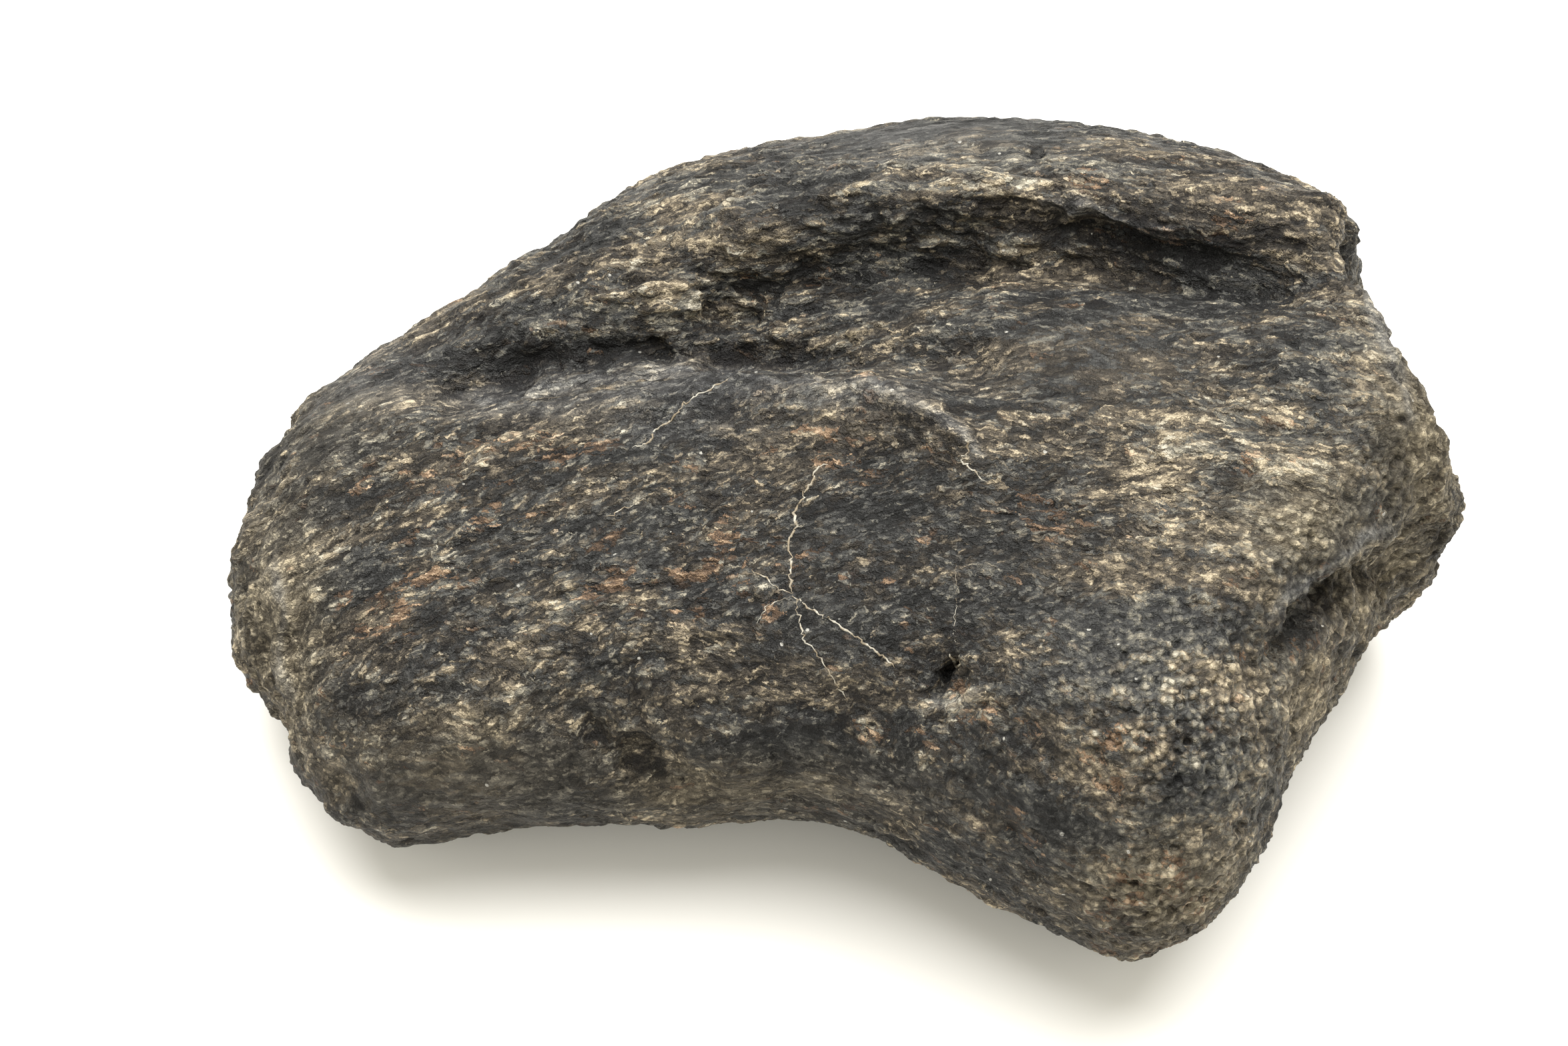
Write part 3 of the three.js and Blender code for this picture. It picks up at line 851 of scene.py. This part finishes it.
def mix_value(tree, share, first, second):
    return add_node(tree, "ShaderNodeMix", {0: share, 2: first, 3: second}, data_type="FLOAT").outputs[0]


def remap(tree, value, low, high, new_low=0.0, new_high=1.0):
    inputs = {"Value": value, "From Min": low, "From Max": high, "To Min": new_low, "To Max": new_high}
    return add_node(tree, "ShaderNodeMapRange", inputs, interpolation_type="SMOOTHSTEP").outputs[0]


def over_edge(tree, value, edge, softness):
    """0 where a value is under an edge, 1 where it is well over it."""
    return remap(tree, value, edge, plus(tree, edge, softness))


def noise_node(tree, place, kind):
    """The outputs of a noise texture of one of the kinds named below."""
    scale, detail, roughness = kind
    inputs = {"Vector": place, "Scale": scale, "Detail": detail, "Roughness": roughness}
    return add_node(tree, "ShaderNodeTexNoise", inputs).outputs


def ramp(tree, value, tones):
    made = add_node(tree, "ShaderNodeValToRGB", {0: value})
    stops = made.color_ramp.elements
    while len(stops) < len(tones):
        stops.new(0.5)
    for stop, (place, shade) in zip(stops, tones):
        stop.position = place
        stop.color = colour(*shade)
    return made.outputs[0]


def painted(tree, name):
    return add_node(tree, "ShaderNodeAttribute", attribute_name=name).outputs["Fac"]


def colour(red, green, blue):
    return (red, green, blue, 1.0)


def new_group(name, inputs, outputs):
    """A shader node group with named sockets, and its two end nodes."""
    tree = bpy.data.node_groups.new(name, "ShaderNodeTree")
    for label, kind, start in inputs:
        socket = tree.interface.new_socket(name=label, in_out="INPUT", socket_type=kind)
        if start is not None:
            socket.default_value = start
    for label, kind in outputs:
        tree.interface.new_socket(name=label, in_out="OUTPUT", socket_type=kind)
    return tree, tree.nodes.new("NodeGroupInput"), tree.nodes.new("NodeGroupOutput")


def place_group(tree, group, inputs=None):
    return add_node(tree, "ShaderNodeGroup", inputs, node_tree=group)


# Noise in the stone: bumps per millimetre, how many finer layers, and how strong they are
WAVER_NOISE = (0.09, 1.0, 0.4)
STIR_NOISE = (1.1, 3.0, 0.85)
DUST_NOISE = (5.0, 1.0, 0.6)
TANGLE_NOISE = (1.0, 3.0, 0.72)
STAIN_NOISE = (1.4, 3.0, 0.6)

# How far the waver moves the grain, in millimetres
WAVER_HEIGHT = 2.4

# Where the middle of a cell starts to fade and where it has gone, in cell widths
CELL_FADE = (0.15, 0.75)

# The grain inside each cell slants by up to half of this, and its place is moved by up to this much.
SLANT = 0.85
OWN_PLACE_REACH = 50.0

# Length and width of the cells in millimetres
LARGE_FLAKES = (2.3, 0.95)
SMALL_SPLINTERS = (1.10, 0.28)
LUMPS = (0.60, 0.55)

# How far noise stirs the borders of cells: along the grain, across it and up, in cell widths
WOBBLE = (0.5, 0.75, 0.75)

# The tangle of fibres is squeezed across the grain.
TANGLE_SQUEEZE = (1.0, 2.5, 2.5)


def grain_flow_group():
    """Millimetres along the grain, across it and up, with a slow waver."""
    outputs = [("Grain", "NodeSocketVector"), ("Place", "NodeSocketVector")]
    tree, _, ends = new_group("grain flow", [], outputs)
    place = add_node(tree, "ShaderNodeTexCoord").outputs["Object"]
    in_mm = vector_node(tree, "MULTIPLY", place, (1 / MM,) * 3)
    x, y, z = add_node(tree, "ShaderNodeSeparateXYZ", {0: in_mm}).outputs
    x = plus(tree, x, -GRAIN_CENTRE[0])
    y = plus(tree, y, -GRAIN_CENTRE[1])
    turn = math_node(tree, "ARCTAN2", x, y)
    radius = math_node(tree, "SQRT", plus(tree, times(tree, x, x), times(tree, y, y)))
    waver = times(tree, centred(tree, noise_node(tree, in_mm, WAVER_NOISE)["Fac"]), WAVER_HEIGHT)
    along = times(tree, turn, float(GRAIN_RADIUS))
    across = plus(tree, radius, waver)
    up = plus(tree, z, waver)
    grain = add_node(tree, "ShaderNodeCombineXYZ", {0: along, 1: across, 2: up}).outputs[0]
    set_inputs(tree, ends, {"Grain": grain, "Place": in_mm})
    return tree


def flecks_group():
    """Irregular cells along the grain: a random colour, how near the middle is, the place inside."""
    tree, start, ends = new_group(
        "flecks",
        [
            ("Place", "NodeSocketVector", None),
            ("Length", "NodeSocketFloat", 1.0),
            ("Width", "NodeSocketFloat", 0.3),
            ("Wobble", "NodeSocketVector", None),
        ],
        [("Random", "NodeSocketColor"), ("Middle", "NodeSocketFloat"), ("Inside", "NodeSocketVector")],
    )
    width = start.outputs["Width"]
    size = add_node(tree, "ShaderNodeCombineXYZ", {0: start.outputs["Length"], 1: width, 2: width}).outputs[0]
    scaled = vector_node(tree, "DIVIDE", start.outputs["Place"], size)
    moved = vector_node(tree, "ADD", scaled, start.outputs["Wobble"])
    cells = add_node(tree, "ShaderNodeTexVoronoi", {"Vector": moved, "Scale": 1.0}).outputs
    offset = vector_node(tree, "SUBTRACT", moved, cells["Position"])
    offset = vector_node(tree, "MULTIPLY", offset, size)
    along, across, up = add_node(tree, "ShaderNodeSeparateXYZ", {0: offset}).outputs
    draws = add_node(tree, "ShaderNodeSeparateColor", {0: cells["Color"]}).outputs
    lean = times(tree, along, times(tree, centred(tree, draws[1]), SLANT))
    leaning = plus(tree, across, lean)
    turned = add_node(tree, "ShaderNodeCombineXYZ", {0: along, 1: leaning, 2: up}).outputs[0]
    own = vector_node(tree, "MULTIPLY", cells["Color"], (OWN_PLACE_REACH,) * 3)
    middle = remap(tree, cells["Distance"], *CELL_FADE, 1.0, 0.0)
    inside = vector_node(tree, "ADD", turned, own)
    set_inputs(tree, ends, {"Random": cells["Color"], "Middle": middle, "Inside": inside})
    return tree


def flecks(tree, group, place, size, wobble):
    """Three random values for each cell, how near its middle is, and the place inside it."""
    length, width = size
    inputs = {"Place": place, "Length": length, "Width": width, "Wobble": wobble}
    made = place_group(tree, group, inputs).outputs
    draws = add_node(tree, "ShaderNodeSeparateColor", {0: made["Random"]}).outputs
    cell = {"middle": made["Middle"], "inside": made["Inside"]}
    return cell | dict(zip(("shade", "hue", "kind"), draws))


def new_material(name):
    made = bpy.data.materials.new(name)
    made.use_nodes = True
    made.node_tree.nodes.clear()
    tree = made.node_tree
    ends = tree.nodes.new("ShaderNodeOutputMaterial")
    shader = tree.nodes.new("ShaderNodeBsdfPrincipled")
    tree.links.new(shader.outputs[0], ends.inputs["Surface"])
    return made, tree, shader


# Linear colours of the stone, from the crevices to the palest flecks: how light, and the colour
STONE_TONES = [
    (0.00, (0.006, 0.006, 0.006)), (0.20, (0.014, 0.014, 0.014)), (0.40, (0.036, 0.036, 0.035)),
    (0.57, (0.080, 0.077, 0.068)), (0.72, (0.142, 0.131, 0.106)), (0.88, (0.250, 0.229, 0.181)),
    (1.00, (0.405, 0.372, 0.300)),
]
# Wear, made lighter as painted light on the joint face and rims
WEAR_AND_LIGHT_TONES = [
    (0.00, (0.012, 0.009, 0.006)), (0.30, (0.038, 0.031, 0.021)), (0.55, (0.108, 0.090, 0.062)),
    (0.80, (0.225, 0.192, 0.135)), (1.00, (0.420, 0.360, 0.255)),
]
BROWN_TONES = [
    (0.00, (0.004, 0.003, 0.003)), (0.25, (0.013, 0.010, 0.007)), (0.45, (0.036, 0.028, 0.019)),
    (0.60, (0.076, 0.060, 0.042)), (0.75, (0.165, 0.130, 0.086)), (1.00, (0.410, 0.335, 0.225)),
]
RUST_TONES = [
    (0.00, (0.008, 0.005, 0.003)), (0.30, (0.034, 0.021, 0.013)), (0.55, (0.108, 0.068, 0.042)),
    (0.75, (0.215, 0.142, 0.088)), (1.00, (0.420, 0.305, 0.205)),
]
# Pale bone, and the painted highlight on crests and rims
PALE_TONES = [
    (0.00, (0.020, 0.020, 0.021)), (0.30, (0.065, 0.065, 0.067)), (0.55, (0.150, 0.148, 0.142)),
    (1.00, (0.360, 0.350, 0.320)),
]

# Colours over the stone: how strong each is at most, how much lighter it is, and its tones
TINTS = {
    "brown": (0.75, 0.0, BROWN_TONES),
    # Wear with painted light: lighter than the stone on the joint face and rims
    "worn": (0.85, 0.18, WEAR_AND_LIGHT_TONES),
    "rust": (0.9, 0.10, RUST_TONES),
    # Pale bone and painted highlight
    "pale": (0.8, 0.05, PALE_TONES),
}

# Brown is where patches and draws add up to more than an edge. The second number is its softness.
BROWN_PARTS = {"patches": 0.6, "large": 0.3, "small": 0.4}
BROWN_EDGE = (0.54, 0.22)

# Rust is where draws add up to more than an edge, which falls as the zone gets stronger.
RUST_PARTS = {"large": 0.55, "small": 0.45}
RUST_EDGE = (0.92, 0.45)
RUST_SOFTNESS = 0.08

# Light specks are the very middles of a few lumps.
SPECK = colour(0.36, 0.35, 0.32)
SPECK_DRAW_EDGE = (0.985, 0.01)
SPECK_MIDDLE_EDGE = (0.96, 0.03)

# How light the stone is: its plain tone, and what each thing adds to it, relief as painted light and shade
PLAIN_TONE = 0.370
# The shade part is painted shade in slits, hollows, pits and under the lip.
TONE_PARTS = {
    "smooth": -0.07, "relief": 0.36, "splinters": 0.36, "patches": 0.34, "cream": 0.27, "shade": -0.27,
    "dust": 0.10,
}
# Humps, in fibre and sponge, make each cell lighter in its middle and darker at its border: painted shade
FIBRE_TONE_PARTS = {"large": 0.38, "small": 0.56, "tangle": 1.15, "small hump": 0.24, "large hump": 0.10}
SPONGE_TONE = -0.15
SPONGE_TONE_PARTS = {"hump": 0.42, "lump": 0.46, "tangle": 0.6}

# The draws at which cells are neither lighter nor darker, and how much of a cell's tone its border has
CELL_MIDDLE_DRAW = 0.48
LUMP_MIDDLE_DRAW = 0.45
BORDER_SHARE = 0.5

# What each thing adds to the bumps, and how high they are in millimetres
FIBRE_BUMP_PARTS = {"large hump": 0.3, "small hump": 0.4, "large": 0.6, "small": 0.7, "tangle": 1.4}
SPONGE_BUMP_PARTS = {"hump": 1.3, "lump": 0.5, "tangle": 0.8}
DUST_BUMP = 0.4
BUMP_STRENGTH = 0.9
BUMP_HEIGHT = 0.36

# How much of the texture is sponge in spongy zones, and how much texture is left on smooth bone
SPONGE_SHARE = 0.85
SMOOTH_TEXTURE = 0.6

# Roughness of the stone, by the draw of the large cells, and where the bone shows wear
ROUGH_RANGE = (0.75, 0.50)
WORN_ROUGH = 0.85
SPECULAR_LEVEL = 0.22

# The threads' two colours, and the stain that mixes them and makes them rougher
THREAD_BROWN = colour(0.17, 0.135, 0.088)
THREAD_CREAM = colour(0.35, 0.33, 0.28)
STAIN_RANGE = (0.42, 0.60)
THREAD_ROUGH = (0.3, 0.7, 0.55, 0.8)


def cell_tone(tree, cell):
    """How much lighter or darker a cell is, less so towards its border."""
    fade = plus(tree, times(tree, cell["middle"], 1 - BORDER_SHARE), BORDER_SHARE)
    return times(tree, centred(tree, cell["shade"], CELL_MIDDLE_DRAW), fade)


def bone_material(flow, fleck):
    made, tree, shader = new_material("fossil bone")
    coordinates = place_group(tree, flow).outputs
    place = coordinates["Place"]
    worn = painted(tree, "worn")
    smooth = painted(tree, "smooth_share")
    patches = painted(tree, "patches")
    spongy = times(tree, painted(tree, "granular"), SPONGE_SHARE)
    texture_share = remap(tree, smooth, 0.0, 1.0, 1.0, SMOOTH_TEXTURE)

    wobble = vector_node(tree, "MULTIPLY", noise_node(tree, place, STIR_NOISE)["Color"], WOBBLE)
    dust = noise_node(tree, place, DUST_NOISE)["Fac"]
    large = flecks(tree, fleck, coordinates["Grain"], LARGE_FLAKES, wobble)
    small = flecks(tree, fleck, large["inside"], SMALL_SPLINTERS, wobble)
    lump = flecks(tree, fleck, place, LUMPS, wobble)
    squeezed = vector_node(tree, "MULTIPLY", large["inside"], TANGLE_SQUEEZE)
    tangle = centred(tree, noise_node(tree, squeezed, TANGLE_NOISE)["Fac"])

    fibre_tone = weighted(tree, FIBRE_TONE_PARTS, {
        "large": cell_tone(tree, large),
        "small": cell_tone(tree, small),
        "tangle": tangle,
        "small hump": centred(tree, small["middle"]),
        "large hump": centred(tree, large["middle"]),
    })
    sponge_tone = weighted(tree, SPONGE_TONE_PARTS, {
        "hump": lump["middle"],
        "lump": centred(tree, lump["shade"], LUMP_MIDDLE_DRAW),
        "tangle": tangle,
    })
    texture = mix_value(tree, spongy, fibre_tone, plus(tree, sponge_tone, SPONGE_TONE))
    zones = weighted(tree, TONE_PARTS, {
        "smooth": smooth,
        "relief": centred(tree, painted(tree, "relief")),
        "splinters": centred(tree, painted(tree, "tone")),
        "patches": centred(tree, patches),
        "cream": painted(tree, "cream"),
        "shade": painted(tree, "shade"),
        "dust": centred(tree, dust),
    })
    tone = plus(tree, PLAIN_TONE, times(tree, texture, texture_share), zones)

    brown_draw = {"patches": patches, "large": large["kind"], "small": small["kind"]}
    rust_draw = {"large": large["hue"], "small": small["hue"]}
    rust_edge = remap(tree, painted(tree, "rust"), 0.0, 1.0, *RUST_EDGE)
    masks = {
        "brown": over_edge(tree, weighted(tree, BROWN_PARTS, brown_draw), *BROWN_EDGE),
        "worn": worn,
        "rust": over_edge(tree, weighted(tree, RUST_PARTS, rust_draw), rust_edge, RUST_SOFTNESS),
        "pale": painted(tree, "pale"),
    }
    base = ramp(tree, tone, STONE_TONES)
    for name, mask in masks.items():
        strength, lighter, tones = TINTS[name]
        tint = ramp(tree, plus(tree, tone, lighter), tones)
        base = mix_colour(tree, times(tree, mask, strength), base, tint)
    speck_draw = over_edge(tree, lump["hue"], *SPECK_DRAW_EDGE)
    speck_middle = over_edge(tree, lump["middle"], *SPECK_MIDDLE_EDGE)
    base = mix_colour(tree, times(tree, speck_draw, speck_middle), base, SPECK)

    fibre_bumps = weighted(tree, FIBRE_BUMP_PARTS, {
        "large hump": large["middle"],
        "small hump": small["middle"],
        "large": large["shade"],
        "small": small["shade"],
        "tangle": tangle,
    })
    sponge_parts = {"hump": lump["middle"], "lump": lump["shade"], "tangle": tangle}
    sponge_bumps = weighted(tree, SPONGE_BUMP_PARTS, sponge_parts)
    height = mix_value(tree, spongy, fibre_bumps, sponge_bumps)
    height = times(tree, plus(tree, height, times(tree, dust, DUST_BUMP)), texture_share)
    bump_inputs = {"Height": height, "Strength": BUMP_STRENGTH, "Distance": BUMP_HEIGHT * MM}
    normal = add_node(tree, "ShaderNodeBump", bump_inputs).outputs[0]

    rough = mix_value(tree, worn, remap(tree, large["hue"], 0.0, 1.0, *ROUGH_RANGE), WORN_ROUGH)
    set_inputs(tree, shader, {"Base Color": base, "Roughness": rough, "Normal": normal})
    shader.inputs["Specular IOR Level"].default_value = SPECULAR_LEVEL
    return made


def thread_material(flow):
    made, tree, shader = new_material("pale mineral")
    stain = noise_node(tree, place_group(tree, flow).outputs["Place"], STAIN_NOISE)["Fac"]
    base = mix_colour(tree, remap(tree, stain, *STAIN_RANGE), THREAD_BROWN, THREAD_CREAM)
    set_inputs(tree, shader, {"Base Color": base, "Roughness": remap(tree, stain, *THREAD_ROUGH)})
    return made


# Studio

FLOOR_HALF = 1.6
FLOOR_NOISE = (6.0, 2.0, 0.5)
FLOOR_DARK = colour(0.84, 0.83, 0.81)
FLOOR_LIGHT = colour(0.86, 0.85, 0.83)
FLOOR_ROUGH = 0.9
FLOOR_SPECULAR_LEVEL = 0.1

# One broad light nearly overhead, behind the bone: metres and watts
LIGHT_PLACE = (0.01, 0.21, 0.48)
LIGHT_AIM = (0, 0, 0.01)
LIGHT_SIZE = 0.72
LIGHT_POWER = 8.6
LIGHT_COLOUR = (1.0, 0.99, 0.97)

ROOM_COLOUR = colour(1.0, 0.972, 0.86)
ROOM_STRENGTH = 1.12

# The nearest and the farthest that the camera sees, in metres
NEAREST = 0.005
FARTHEST = 20


def floor_material():
    made, tree, shader = new_material("studio floor")
    place = add_node(tree, "ShaderNodeTexCoord").outputs["Object"]
    mottle = noise_node(tree, place, FLOOR_NOISE)["Fac"]
    base = mix_colour(tree, mottle, FLOOR_DARK, FLOOR_LIGHT)
    set_inputs(tree, shader, {
        "Base Color": base, "Roughness": FLOOR_ROUGH, "Specular IOR Level": FLOOR_SPECULAR_LEVEL
    })
    return made


def studio_floor():
    half = FLOOR_HALF
    mesh = bpy.data.meshes.new("studio_floor")
    corners = [(-half, -half, 0), (half, -half, 0), (half, half, 0), (-half, half, 0)]
    mesh.from_pydata(corners, [], [(0, 1, 2, 3)])
    floor = new_object("studio_floor", mesh)
    mesh.materials.append(floor_material())


def key_light():
    lamp = bpy.data.lights.new("key_light", "AREA")
    lamp.shape = "DISK"
    lamp.size = LIGHT_SIZE
    lamp.energy = LIGHT_POWER
    lamp.color = LIGHT_COLOUR
    made = new_object("key_light", lamp)
    made.location = LIGHT_PLACE
    towards = Vector(LIGHT_AIM) - Vector(LIGHT_PLACE)
    made.rotation_euler = towards.to_track_quat("-Z", "Y").to_euler()


def room_light():
    world = bpy.data.worlds.new("soft room")
    world.use_nodes = True
    background = world.node_tree.nodes["Background"]
    background.inputs["Color"].default_value = ROOM_COLOUR
    background.inputs["Strength"].default_value = ROOM_STRENGTH
    bpy.context.scene.world = world


def photo_camera():
    lens = bpy.data.cameras.new("photo_camera")
    lens.lens = LENS
    lens.sensor_width = SENSOR
    lens.clip_start = NEAREST
    lens.clip_end = FARTHEST
    camera = new_object("photo_camera", lens)
    camera.location = Vector(EYE * MM)
    camera.rotation_euler = (math.pi / 2 - ELEVATION, 0, 0)
    bpy.context.scene.camera = camera


photo_camera()
studio_floor()
key_light()
room_light()
bpy.context.scene.view_settings.view_transform = "Standard"

grain_flow = grain_flow_group()
bone_flecks = flecks_group()

bone = bone_surface()
bone.data.materials.append(bone_material(grain_flow, bone_flecks))
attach(bone, "root")
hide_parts("claw_bone")

threads = mineral_threads(surface_tree(bone))
threads.data.materials.append(thread_material(grain_flow))
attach(threads, "root")
